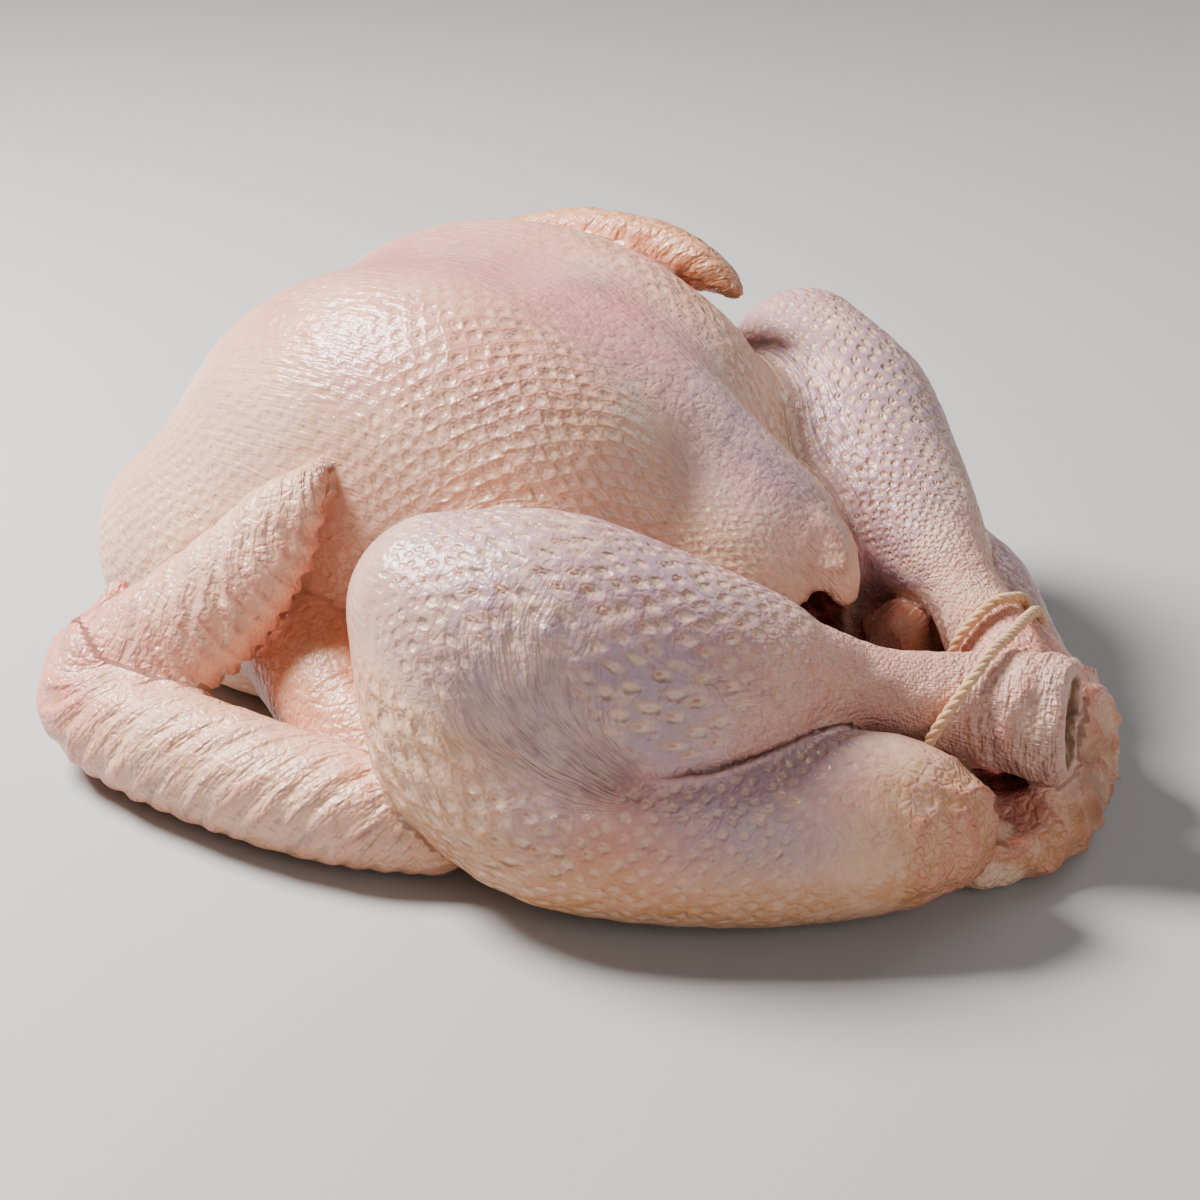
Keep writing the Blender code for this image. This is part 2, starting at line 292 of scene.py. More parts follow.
# %% [markdown]
# ## From field to mesh
#
# The field is read on a grid and the surface is drawn where it passes through nil. A little
# over two millimetres between samples keeps the folds and stays under 200,000 triangles.
# Most of the grid is far from the skin, so a coarse pass first finds the cells that matter
# and only those are read again finely.

# %% Surface
CELL = 2.32
COARSE = 4
REACH = 15.0
GRID_LOW = np.array((-268.0, -186.0, -9.0))
GRID_HIGH = np.array((186.0, 186.0, 189.0))
CHUNK = 150000


def in_chunks(field, points):
    return np.concatenate([field(points[start:start + CHUNK].astype(np.float32))
                           for start in range(0, len(points), CHUNK)])


def read_field(field):
    """The field's values on the fine grid, exact near the skin and rough elsewhere."""
    blocks = np.ceil((GRID_HIGH - GRID_LOW) / (CELL * COARSE)).astype(int)
    middles = (np.indices(blocks).reshape(3, -1).T * COARSE + (COARSE - 1) / 2) * CELL + GRID_LOW
    rough = in_chunks(field, middles).reshape(blocks)
    for axis in range(3):
        rough = np.repeat(rough, COARSE, axis)
    near = np.argwhere(np.abs(rough) < REACH)
    rough[tuple(near.T)] = in_chunks(field, near * CELL + GRID_LOW)
    return rough


def outer_skin(points, faces):
    """Leaves out the walls of closed pockets between the limbs and the trunk."""
    piece = np.arange(len(points))
    while True:
        lowest = piece[faces].min(1)
        merged = piece.copy()
        np.minimum.at(merged, faces.ravel(), np.repeat(lowest, 4))
        merged = merged[merged]
        if np.array_equal(merged, piece):
            break
        piece = merged
    kept = piece == piece[np.argmax(points[:, 2])]
    renumbered = np.cumsum(kept) - 1
    return points[kept], renumbered[faces[kept[faces[:, 0]]]]


grid = openvdb.FloatGrid(background=50.0)
grid.copyFromArray(read_field(bird))
skin_points, skin_faces = grid.convertToQuads(0.0)
skin_points, skin_faces = outer_skin(skin_points * CELL + GRID_LOW, skin_faces[:, ::-1])
print("skin:", len(skin_points), "points,", 2 * len(skin_faces), "triangles")

# %% [markdown]
# ## Noise
#
# Skin is never even. This is the plain value noise that texture nodes use: random numbers
# on a lattice, joined by smooth curves. It bends the follicles' rows first, and lumps the
# flesh further down.

# %% Noise
def noise(points, size, seed):
    """Smooth random numbers from -1 to 1 that change over about `size`."""
    cell = np.asarray(points, float) / size + seed * 17.3
    corner = np.floor(cell)
    share = cell - corner
    share = share * share * (3 - 2 * share)
    total = np.zeros(len(cell))
    for step in itertools.product((0, 1), repeat=cell.shape[1]):
        key = (corner + step) @ np.array((127.1, 311.7, 74.7))[:cell.shape[1]]
        weight = np.prod(np.where(step, share, 1 - share), axis=1)
        total += weight * ((np.sin(key) * 43758.5453) % 1.0)
    return 2 * total - 1


def ramp(values, low, high):
    """0 at `low`, 1 at `high` and smooth between; works downwards too."""
    share = np.clip((values - low) / (high - low), 0, 1)
    return share * share * (3 - 2 * share)


faces_at_point = np.bincount(skin_faces.ravel(), minlength=len(skin_points))


def softened(values, rounds):
    """Numbers on the skin's points, each averaged with its neighbours' `rounds` times."""
    for _ in range(rounds):
        middles = values[skin_faces].mean(1)
        values = np.bincount(skin_faces.ravel(), np.repeat(middles, 4), len(values)) / faces_at_point
    return values


# %% [markdown]
# ## Which region a point belongs to
#
# Feather follicles stand in slanting rows that follow each limb round, so a pattern in
# plain space would be wrong. Each point goes to the region whose own field is nearest, and
# gets two numbers there: how far along the limb it is, counted in radii so that the rows
# draw together where the limb thins, and how far round it. Both are averaged over the
# nearby stretch of the limb's path, or the rows would break at every bend.

# %% Regions and their coordinates
stacked = np.stack([in_chunks(region, skin_points) for region in REGIONS.values()])
names = list(REGIONS)
region_index = np.argmin(stacked, 0)
ordered = np.sort(stacked, 0)
gap_to_next = ordered[1] - ordered[0]


def belongs(*wanted):
    return np.isin(region_index, [names.index(name) for name in wanted]).astype(float)


def limb_places(points, rows, outwards):
    """For each point: radii travelled along the limb, and the angle round it from `outwards`."""
    path = smooth_curve(rows, LIMB_STEPS)
    middles, radii = path[:, :3], path[:, 3]
    lengths = np.linalg.norm(np.diff(middles, axis=0), axis=1)
    travelled = np.concatenate([[0], np.cumsum(2 * lengths / (radii[1:] + radii[:-1]))])
    axes = np.gradient(middles, axis=0)
    axes /= np.linalg.norm(axes, axis=1)[:, None]
    power = ((points[:, None] - middles) ** 2).sum(-1) - radii ** 2
    softness = AVERAGING * radii ** 2
    weight = np.exp(-(power - power.min(1)[:, None]) / softness)
    weight /= weight.sum(1)[:, None]
    axis = weight @ axes
    offset = points - weight @ middles
    side = np.cross(axis, outwards)
    top = np.cross(side, axis)
    side /= np.linalg.norm(side, axis=1)[:, None]
    top /= np.linalg.norm(top, axis=1)[:, None]
    return weight @ travelled, np.arctan2((offset * side).sum(1), (offset * top).sum(1))


AVERAGING = 0.16
TRUNK_GUIDE = [(-250, 0, 60, 62), (-200, 0, 60, 75), (-140, 0, 60, 85), (-60, 0, 58, 85),
               (0, 0, 56, 70), (60, 0, 52, 52), (120, 0, 30, 45), (160, 0, 20, 40)]
GUIDES = {
    "trunk": TRUNK_GUIDE, "near_thigh": NEAR_THIGH, "near_drumstick": NEAR_DRUMSTICK,
    "far_thigh": FAR_THIGH, "far_drumstick": FAR_DRUMSTICK, "near_humerus": NEAR_HUMERUS,
    "near_forearm": NEAR_FOREARM, "near_hand": NEAR_HAND, "near_thumb": NEAR_THUMB,
    "far_humerus": FAR_HUMERUS, "far_forearm": FAR_FOREARM, "far_hand": FAR_HAND,
    "far_thumb": FAR_THUMB}
FOLLICLES_AROUND = {"trunk": 116, "thigh": 36, "drumstick": 46, "humerus": 26, "forearm": 22,
                    "hand": 20, "thumb": 12}
OUTWARDS = {"trunk": np.array((0.0, -0.3, 1.0)), "near": np.array((0.0, -1.0, 0.25)),
            "far": np.array((0.0, 1.0, 0.25))}
x, y, z = skin_points.T
along = np.zeros(len(skin_points))
around = np.zeros(len(skin_points))
seam = np.zeros(len(skin_points))
for name, rows in GUIDES.items():
    side, kind = name.split("_")[0], name.split("_")[-1]
    here = belongs(name) > 0
    travelled, angle = limb_places(skin_points[here], rows, OUTWARDS[side])
    count = FOLLICLES_AROUND[kind] / (2 * np.pi)
    along[here] = travelled * count
    around[here] = angle * count
    seam[here] = np.pi - np.abs(angle)
bend = 0.45 * np.stack([noise(skin_points, 26, 1), noise(skin_points, 26, 2)], 1)
lattice = np.stack([along + around, along - around], 1) / math.sqrt(2) + bend
print("points by region:", {name: int(belongs(name).sum()) for name in names})

# %% [markdown]
# ## Wrinkles and what they follow
#
# Where a leg is folded, its skin is pulled from the front of the knee into the pit behind
# it, and it wrinkles along the pull. The lines all start in the pit and bend upwards as
# they leave it, so they get coordinates of their own: the angle they leave at, and the
# distance from the pit. Beside the fold between leg and breast, wrinkles run along the
# fold instead, and their coordinate is the difference of the two distances. The wings'
# ridges slant round the limb, and the rings at the ankle are told by how far they are
# from the saw cut.

# %% Coordinates of wrinkles
KNEE_PITS = {"near": np.array((66.0, -137.0, 54.0)), "far": np.array((60.0, 128.0, 56.0))}
FAN_CURL = 0.007           # radians a millimetre
FAN_LINES = 22             # wrinkles a radian, doubled
FAN_STRETCH = 17           # millimetres over which a wrinkle comes and goes
PIT_GLOW = 18              # millimetres
FAN_TAPER = 0.007          # radians that the fan narrows in a millimetre
fan = np.zeros(len(skin_points))
fan_outer = np.zeros(len(skin_points))
pit_glow = np.zeros(len(skin_points))
fan_grain = np.zeros((len(skin_points), 3))
for side, pit in KNEE_PITS.items():
    outside = ramp(y * np.sign(pit[1]), 84, 104)
    forwards, upwards = pit[0] - x, z - pit[2]
    reach = np.hypot(forwards, upwards)
    leaves_at = np.arctan2(upwards, forwards) - FAN_CURL * reach
    leaves_at += 0.03 * noise(skin_points, 9, 30) * ramp(reach, 5, 25)
    from_top = leaves_at + FAN_TAPER * reach
    mask = outside * ramp(reach, 5, 22) * ramp(reach, 92, 50)
    mask *= ramp(leaves_at, -0.35, -0.02) * ramp(from_top, 1.25, 0.75)
    lines = np.stack([reach / FAN_STRETCH, leaves_at * FAN_LINES, np.zeros(len(x))], 1)
    fan_grain = np.where((y * pit[1] > 0)[:, None], lines, fan_grain)
    fan = np.maximum(fan, mask)
    fan_outer = np.maximum(fan_outer, mask * ramp(reach, 22, 50))
    pit_glow += outside * np.exp(-((forwards - 8) ** 2 + (upwards + 12) ** 2) / PIT_GLOW ** 2)

FOLD_PITCH = 2.6
FOLD_STRETCH = 22
distances = dict(zip(names, stacked))
to_leg = np.minimum.reduce([distances[name] for name in names if "thigh" in name or "drum" in name])
across_fold = distances["trunk"] - to_leg
beside_fold = ramp(np.abs(across_fold), 34, 10) * ramp(np.maximum(distances["trunk"], to_leg), 36, 12)
beside_fold *= (1 - fan) * ramp(x, 78, 40) * ramp(z, 20, 40)
fold_grain = np.stack([across_fold / FOLD_PITCH, x / FOLD_STRETCH, z / FOLD_STRETCH], 1)

RIDGE_SLANT = 0.6          # how far the wings' ridges run round while they run across
RIDGES_IN_CELL = 1.15
RIDGE_LENGTH = 0.22
ridge_grain = np.stack([(along + RIDGE_SLANT * around) * RIDGES_IN_CELL,
                        (around - RIDGE_SLANT * along) * RIDGE_LENGTH, np.zeros(len(x))], 1)
on_wing = belongs(*[name for name in names if "arm" in name or "hand" in name or "thumb" in name])
fold_grain = np.where((on_wing > 0)[:, None], ridge_grain, fold_grain)

ankle_depth = (np.array(ANKLE_CUT[0]) - skin_points) @ np.array(ANKLE_CUT[1])
RING_PITCH = 2.4
RING_STRETCH = 14
ring_grain = np.stack([ankle_depth / RING_PITCH, y / RING_STRETCH, z / RING_STRETCH], 1)
on_ankle = belongs("near_drumstick") * ramp(ankle_depth, 46, 30)
fold_grain = np.where((on_ankle > 0)[:, None], ring_grain, fold_grain)
grain = np.stack([along * 0.4, around * 2.5], 1)

# %% [markdown]
# ## Where each thing shows
#
# Each look gets a mask, a number from 0 to 1 at every point: follicles on the outer legs and
# the breast's flanks, violet where thin skin lies over dark meat, pink in creases and at
# the joints, tan underneath that is partly painted shade, painted shade beside the wings and
# in the hollow under the near ankle, and dark flesh inside the cavity, darkened further as
# painted shade. The masks are worked out from the regions' own coordinates, so they follow
# the bird's shape, and are then softened over the mesh, because skin has no borders.

# %% Masks
BLUR = 7
drumstick = softened(belongs("near_drumstick", "far_drumstick"), BLUR)
thigh = softened(belongs("near_thigh", "far_thigh"), BLUR)
leg = drumstick + thigh
forearm = softened(belongs("near_forearm", "far_forearm"), 3)
hand = softened(belongs("near_hand", "far_hand"), 3)
thumb = softened(belongs("near_thumb", "far_thumb"), 2)
humerus = softened(belongs("near_humerus", "far_humerus"), 3)
wing_skin = np.clip(forearm + hand + thumb + humerus, 0, 1)
on_trunk = softened(belongs("trunk"), 3)

KNEE_FRONT = np.array((-44, -140, 98))
FAR_KNEE_FRONT = np.array((-46, 138, 98))
KNEE_SIZE = 33
KEEL_SIDE = -3
KEEL_SPREAD = 20
knee = np.exp(-(np.linalg.norm(skin_points - KNEE_FRONT, axis=1) / KNEE_SIZE) ** 2)
knee += np.exp(-(np.linalg.norm(skin_points - FAR_KNEE_FRONT, axis=1) / KNEE_SIZE) ** 2)
flap_distance = in_chunks(lambda at: limb(at, FLAP), skin_points)
inside = ramp(in_chunks(lambda at: limb(at, BODY_HOLLOW), skin_points), 3.5, 0.5)
inside = np.maximum(inside, ramp(in_chunks(lambda at: mass(at, *VENT), skin_points), 2.5, 0.5))
inside *= belongs("trunk") * ramp(flap_distance, 1.0, 4.0)
meat = ramp(in_chunks(lambda at: mass(at, *DARK_MEAT), skin_points), 3.0, 1.0)
# painted shade: the hollow under the near ankle is darkened with the cavity's flesh colour and turned pink
seat_shade = ramp(in_chunks(lambda at: mass(at, *SEAT), skin_points), 2.5, 0.0) * (1 - softened(drumstick, 2))
inside = softened(np.clip(inside - 0.65 * meat + 0.25 * seat_shade, 0, 1), 2)
bone = ramp(in_chunks(lambda at: mass(at, *ANKLE_HOLLOW), skin_points), 2.6, 0.8)
crease = softened(ramp(gap_to_next, 7, 0.5), 2) * (1 - inside) * (1 - fan) * ramp(x, -215, -190)
crease *= np.where(leg > 0.3, ramp(x, 12, 52), 1.0)
shank = ramp(x, 62, 92) * belongs("near_drumstick", "far_drumstick")
rear = ramp(x, 84, 112) * belongs("trunk") + ramp(x, 120, 138) * belongs("near_thigh", "far_thigh")
rear = softened(rear, 3) * ramp(z, 70, 55)
keel_line = np.exp(-((y - KEEL_SIDE) / KEEL_SPREAD) ** 2) * on_trunk * ramp(z, 84, 110)
fat = np.zeros(len(skin_points))
for bead_x, bead_y, bead_z, radius in FAT_BEADS:
    bead = in_chunks(lambda at: mass(at, (bead_x, bead_y, bead_z), (radius,) * 3), skin_points)
    fat = np.maximum(fat, ramp(bead, 2.5, 0.5))

breast_rows = ramp(x, -130, -30) * ramp(np.abs(y), 14, 44)
front_rows = ramp(x, -120, -170) * ramp(z, 118, 92)
breast_rows = np.maximum(breast_rows, 0.6 * front_rows)
on_leg = drumstick + thigh * (1 - 0.45 * ramp(x, 30, 70)) * ramp(x, 128, 96)
follicles = on_leg + on_trunk * (0.25 + 0.35 * breast_rows) * (1 - 0.8 * keel_line)
follicles = np.clip(follicles + 0.2 * wing_skin, 0, 1)
follicles *= np.clip(1 - 0.85 * knee, 0, 1) * (1 - 0.9 * fan) * (1 - inside) * (1 - bone) * (1 - rear)
follicles *= 1 - 0.55 * shank
follicles *= ramp(seam, 0.15, 0.5) * softened(ramp(gap_to_next, 1.0, 5.0), 2) * ramp(z, 2, 10)
print("share of skin with follicles:", round(float((follicles > 0.3).mean()), 2))

# %% [markdown]
# ## Folds and lumps
#
# The forearm's skin lies in slanting ridges, the hand's trailing edge is scalloped where
# the quills were, the ankle's skin has slid into rings behind the saw cut, and the rump is
# lumpy. All are heights in millimetres, summed into one number that will move the skin
# along its normal. What lies lower than its surroundings is kept as a mask of furrow shade:
# the low places get painted shade in blood red and pink.

# %% Relief
fan_lines = noise(fan_grain * (1, 0.7, 1), 1.0, 5)
fold_lines = noise(fold_grain * (0.7, 1, 1), 1.0, 6)
lumps = noise(skin_points, 11, 14) + 0.6 * noise(skin_points, 6, 15)
swell = 0.6 * noise(skin_points, 26, 3) + 0.22 * noise(skin_points, 10, 4)

RIDGES_RAISED = 0.55       # the larger ridges, in cells
ridge_phase = (along + RIDGE_SLANT * around) * RIDGES_RAISED + 0.35 * noise(skin_points, 16, 7)
ridges = 1 - 2 * np.abs(np.sin(np.pi * ridge_phase))
ridges *= 0.55 + 0.45 * noise(skin_points, 18, 8)
detail = (1.0 * forearm + 0.7 * hand) * ridges
detail += 0.5 * (forearm + hand) * noise(skin_points, 9, 9)
detail += 0.9 * fan_outer * fan_lines + 0.7 * beside_fold * fold_lines
detail += on_ankle * (1 - bone) * 1.6 * noise(ring_grain * (0.5, 1, 1), 1.0, 11)
detail += shank * (0.3 * noise(skin_points, 5.5, 12) + 0.8 * noise(skin_points, 10, 13))
pleat = ramp(np.abs(noise(skin_points * (1, 1, 0.6), 11, 20)), 0.25, 0.0)
on_flap = ramp(flap_distance, 16, 5) * ramp(x, 38, 52) * on_trunk
detail += (rear + 0.5 * on_flap) * (1.5 * lumps + 0.6 - 2.0 * pleat)
detail += meat * 2.8 * noise(skin_points, 6, 31)
detail += inside * (1.3 * noise(skin_points, 12, 16) + 0.6 * noise(skin_points, 5, 17))
detail += crease * 0.7 * noise(skin_points, 5, 18)
detail += bone * 1.0 * noise(skin_points, 5, 19)

SCALLOP_PITCH = 7.5
SCALLOP_HEIGHT = 1.3
for name, rows, normal in (("near_hand", NEAR_HAND, NEAR_HAND_NORMAL),
                           ("far_hand", FAR_HAND, FAR_HAND_NORMAL)):
    here = belongs(name) > 0
    path = smooth_curve(rows, 1)[:, :3]
    reach = path[-1] - path[0]
    trailing = np.cross(reach, normal) * (1 if name == "near_hand" else -1)
    trailing /= np.linalg.norm(trailing)
    centred = skin_points[here] - path[0]
    length = centred @ reach / np.linalg.norm(reach)
    sideways = (centred - np.outer(length / np.linalg.norm(reach), reach)) @ trailing
    scallops = 2 * np.abs(np.sin(np.pi * length / SCALLOP_PITCH)) - 1
    detail[here] += ramp(sideways, 6, 14) * SCALLOP_HEIGHT * scallops

relief = (swell + detail) * ramp(z, 1.5, 8)
# painted shade: the low places are later darkened with blood red and pink
furrow_shade = np.clip(softened(detail, 6) - detail, 0, 1) * (1 - bone)

GROOVE_DEPTH = 3.2         # the line where the near drumstick lies on its thigh
GROOVE_WIDTH = 2.6
to_drumstick, to_thigh = distances["near_drumstick"], distances["near_thigh"]
groove = np.exp(-((to_drumstick - to_thigh) / GROOVE_WIDTH) ** 2)
groove *= leg * ramp(x, 52, 76) * ramp(np.maximum(to_drumstick, to_thigh), 8, 2)
relief -= GROOVE_DEPTH * groove
furrow_shade = np.clip(furrow_shade + 0.4 * groove, 0, 1)
folded = np.clip(0.6 * beside_fold + 0.8 * forearm + 0.65 * hand + 0.3 * thumb + 0.8 * on_ankle, 0, 1)
wrinkles = np.stack([fan, folded, 0.25 * on_trunk * (1 - breast_rows) + 0.35 * shank], 1)
cobbles = np.clip(0.5 * shank + 0.9 * rear + 0.2 * wing_skin + 0.4 * knee + 0.3, 0, 1)
print("relief: %.1f to %.1f mm" % (relief.min(), relief.max()))

# %% [markdown]
# ## How the colours lie
#
# Violet, pink and tan are painted into the same kind of mask. The relief helps: the low
# places get painted shade in pink. The tan is partly painted shade, laid on under the thighs,
# low on the trunk and the wings, and beside the wings. A last mask says where the skin is
# drawn tight, over the knees and the shoulders, for it is smoother and shines more there.

# %% Tones
WRISTS = (np.array((-170, -136, 34)), np.array((-146, 96, 117)))
WRIST_SIZE = 32
THUMB_TIP_SIZE = 7
wrist = sum(np.exp(-(np.linalg.norm(skin_points - at, axis=1) / WRIST_SIZE) ** 2)
            for at in WRISTS)
# painted shade: the trunk beside the wings and the humerus skin turn tan and a little pink, more so lower
# down
shade_by_wing = np.minimum.reduce([distances[name] for name in names if "hand" in name or "forearm" in name])
shade_by_wing = on_trunk * ramp(shade_by_wing, 36, 6) * (0.3 + 0.7 * ramp(z, 86, 58))
shade_by_wing = np.clip(shade_by_wing + 0.8 * humerus * ramp(x, -150, -120), 0, 1)
thigh_front = thigh * ramp(x, 46, 0)
thigh_under = thigh * np.maximum(ramp(z, 54, 20), 0.6 * ramp(x, 100, 126))
rows = np.clip(on_trunk * (0.35 + 0.65 * breast_rows) + thigh_front + 0.6 * thigh_under, 0, 1)
rows *= np.clip(follicles * 1.4, 0, 1)

violet = 0.95 * drumstick + 0.85 * thigh * ramp(z, 16, 44) * ramp(x, 124, 104) * ramp(x, -5, 50)
violet += on_trunk * (0.16 + 0.75 * keel_line + 0.35 * noise(skin_points, 30, 21) + 0.3 * ramp(z, 120, 150))
violet = np.clip(violet - 0.5 * knee - 0.65 * shank - rear - wing_skin, 0, 1)
violet *= (1 - fat) * (1 - 0.25 * fan)

pink = 0.16 * wing_skin + 0.2 * crease + 0.45 * shank - 0.3 * on_ankle + 0.08 * keel_line + 0.7 * thumb
pink += 0.45 * furrow_shade + 0.1 * rear + 0.02 + 0.12 * noise(skin_points, 22, 22) + 0.5 * seat_shade + 0.4 * meat
pink += 0.5 * pit_glow * leg + 0.08 * knee
pink += 0.9 * wrist * wing_skin + 0.5 * on_trunk * ramp(z, 118, 150) * ramp(x, 10, -40) + 0.1 * shade_by_wing
pink = np.clip(pink, 0, 1) * (1 - fat)

# The tan is partly the skin's own colour and partly painted shade: it is laid on under the thighs, low on
# the trunk and the wings, and beside the wings.
tan = 0.8 * thigh_under + 0.3 * thigh_front + 0.35 * rear + 0.8 * shade_by_wing + 0.4 * pit_glow * leg
tan += on_trunk * (0.04 + 0.06 * breast_rows + 0.5 * ramp(z, 46, 20))
tan += 0.8 * belongs("far_hand", "far_forearm")
tan += wing_skin * (0.22 + 0.4 * ramp(z, 20, 6)) + 0.2 * noise(skin_points, 18, 23) + meat
for rows_of_thumb in (NEAR_THUMB, FAR_THUMB):
    tip = np.linalg.norm(skin_points - rows_of_thumb[-1][:3], axis=1)
    tan += 1.5 * np.exp(-(tip / THUMB_TIP_SIZE) ** 2) * thumb
tan = np.clip(tan * (1 - inside) * (1 - 0.5 * wrist), 0, 1)

taut = np.clip(knee + 0.75 * on_trunk * ramp(x, -30, -90) * ramp(z, 60, 100), 0, 1)
for name, mask in (("violet", violet), ("pink", pink), ("tan", tan), ("taut", taut)):
    print(name, "over the whole skin: %.2f" % mask.mean())

# %% [markdown]
# ## The skin's mesh and its attributes
#
# The points and faces become a mesh, and every mask is stored on it as a named attribute.
# Geometry Nodes and the material both read them by name.

# %% Mesh
skin_points[:, 2] = np.maximum(skin_points[:, 2], BASE_CUT)
skin_mesh = bpy.data.meshes.new("skin")
skin_mesh.from_pydata(placed(skin_points).tolist(), [], skin_faces.tolist())
skin_mesh.shade_smooth()


def store(name, *columns):
    """One number, or two or three, at each point of the skin."""
    kind, key = ("FLOAT", "value") if len(columns) == 1 else ("FLOAT_VECTOR", "vector")
    if len(columns) == 2:
        columns = (*columns, np.zeros(len(skin_points)))
    values = np.stack(columns, -1).astype(np.float32)
    skin_mesh.attributes.new(name, kind, "POINT").data.foreach_set(key, values.ravel())


store("lattice", *lattice.T)
store("grain", *grain.T)
store("fan_grain", *fan_grain.T)
store("fold_grain", *fold_grain.T)
store("follicles", follicles)
store("relief", relief / 1000)
store("tone", violet, pink, tan)
store("depths", inside, bone, fat)
store("wrinkles", *wrinkles.T)
store("seams", rows, groove, taut)
store("cobbles", cobbles)
store("furrow_shade", furrow_shade)
skin = bpy.data.objects.new("skin", skin_mesh)
bpy.context.scene.collection.objects.link(skin)
print("attributes:", [a.name for a in skin_mesh.attributes if not a.is_internal])

# %% [markdown]
# ## Node helpers
#
# The same few nodes turn up in the material and in Geometry Nodes, so a helper adds a node,
# sets what it is told and links what it is given.

# %% Helpers for node trees
def add(tree, kind, links=(), **settings):
    """A new node; `links` maps input names or numbers to sockets or plain values."""
    node = tree.nodes.new(kind)
    for key, value in settings.items():
        setattr(node, key, value)
    for key, value in dict(links).items():
        if isinstance(value, bpy.types.NodeSocket):
            tree.links.new(value, node.inputs[key])
        else:
            node.inputs[key].default_value = value
    return node


def maths(tree, operation, first, second=0.0):
    return add(tree, "ShaderNodeMath", {0: first, 1: second}, operation=operation).outputs[0]


def vector_maths(tree, operation, first, second):
    return add(tree, "ShaderNodeVectorMath", {0: first, 1: second}, operation=operation).outputs[0]


def scaled(tree, vector, share):
    links = {0: vector, "Scale": share}
    return add(tree, "ShaderNodeVectorMath", links, operation="SCALE").outputs[0]


def between(tree, value, low, high):
    """0 at `low`, 1 at `high`, smooth between."""
    return add(tree, "ShaderNodeMapRange", {"Value": value, "From Min": low, "From Max": high},
               interpolation_type="SMOOTHSTEP").outputs["Result"]


def cells(tree, lattice, feature="F1"):
    """The follicles' cells, nearly in rows; the same ones wherever the lattice is read."""
    return add(tree, "ShaderNodeTexVoronoi", {"Vector": lattice, "Scale": 1.0, "Randomness": 0.42},
               voronoi_dimensions="2D", feature=feature).outputs


# %% [markdown]
# ## Raising the follicles
#
# A plucked follicle is a soft mound with a pit in its top. Modelling thousands by hand is
# out of the question and scattering copies would leave seams, so the nodes move the skin
# itself: they read the lattice at each point, find the nearest follicle's middle and lift
# the skin by the mound's profile, together with the folds.

# %% Geometry Nodes for the skin
def relief_tree():
    tree = bpy.data.node_groups.new("raise the skin", "GeometryNodeTree")
    face = tree.interface
    face.new_socket("Geometry", in_out="INPUT", socket_type="NodeSocketGeometry")
    face.new_socket("Mound height", in_out="INPUT", socket_type="NodeSocketFloat")
    face.new_socket("Mound radius", in_out="INPUT", socket_type="NodeSocketFloat")
    face.new_socket("Material", in_out="INPUT", socket_type="NodeSocketMaterial")
    face.new_socket("Geometry", in_out="OUTPUT", socket_type="NodeSocketGeometry")
    given = add(tree, "NodeGroupInput")

    def named(name, kind):
        node = add(tree, "GeometryNodeInputNamedAttribute", data_type=kind)
        node.inputs["Name"].default_value = name
        return node.outputs["Attribute"]

    distance = cells(tree, named("lattice", "FLOAT_VECTOR"))["Distance"]
    mound = between(tree, maths(tree, "DIVIDE", distance, given.outputs["Mound radius"]), 1.0, 0.1)
    height = maths(tree, "MULTIPLY", mound, given.outputs["Mound height"])
    height = maths(tree, "MULTIPLY", height, named("follicles", "FLOAT"))
    height = maths(tree, "ADD", height, named("relief", "FLOAT"))
    normal = add(tree, "GeometryNodeInputNormal").outputs["Normal"]
    offset = scaled(tree, normal, height)
    moved = add(tree, "GeometryNodeSetPosition",
                {"Geometry": given.outputs["Geometry"], "Offset": offset})
    real = add(tree, "GeometryNodeRealizeInstances", {"Geometry": moved.outputs[0]})
    painted = add(tree, "GeometryNodeSetMaterial",
                  {"Geometry": real.outputs[0], "Material": given.outputs["Material"]})
    add(tree, "NodeGroupOutput", {"Geometry": painted.outputs[0]})
    return tree


def run_nodes(piece, tree, values):
    """Runs a node tree on a piece with the given inputs and keeps its result as a plain mesh."""
    modifier = piece.modifiers.new(tree.name, "NODES")
    modifier.node_group = tree
    for item in tree.interface.items_tree:
        if item.item_type == "SOCKET" and item.in_out == "INPUT" and item.name in values:
            modifier[item.identifier] = values[item.name]
    piece.update_tag()
    depsgraph = bpy.context.evaluated_depsgraph_get()
    made = bpy.data.meshes.new_from_object(piece.evaluated_get(depsgraph), depsgraph=depsgraph)
    piece.modifiers.remove(modifier)
    return made


# %% [markdown]
# ## Skin in layers
#
# Raw skin is cream, but thin: violet meat shows through it on the legs, blood pinks it in
# the folds, and it is tan underneath, a tan that is partly painted shade. The bottoms of the
# wrinkles and the low places get painted shade, and the flesh in the cavity is darkened
# almost to black as painted shade. Each follicle is a cream disc with a small brown pore.
# The material stacks these over each other with the masks. Some light passes under the
# surface. A separate coat would shine like plastic over the bumps, so the skin itself is
# made wet by a low roughness, and its bumps break the highlights up.

# %% Colours, as linear red, green and blue
CREAM = (0.82, 0.52, 0.36, 1)
VIOLET = (0.41, 0.25, 0.31, 1)
PINK = (0.74, 0.26, 0.20, 1)
TAN = (0.56, 0.25, 0.10, 1)
MOUND = (0.82, 0.54, 0.40, 1)
PORE = (0.48, 0.18, 0.07, 1)
# raw flesh darkened almost to black as painted shade inside the cavity
SHADED_FLESH = (0.11, 0.018, 0.010, 1)
# painted shade for the bottoms of wrinkles
TROUGH_SHADE = (0.24, 0.14, 0.16, 1)
BONE = (0.20, 0.085, 0.03, 1)
FAT = (0.86, 0.56, 0.38, 1)
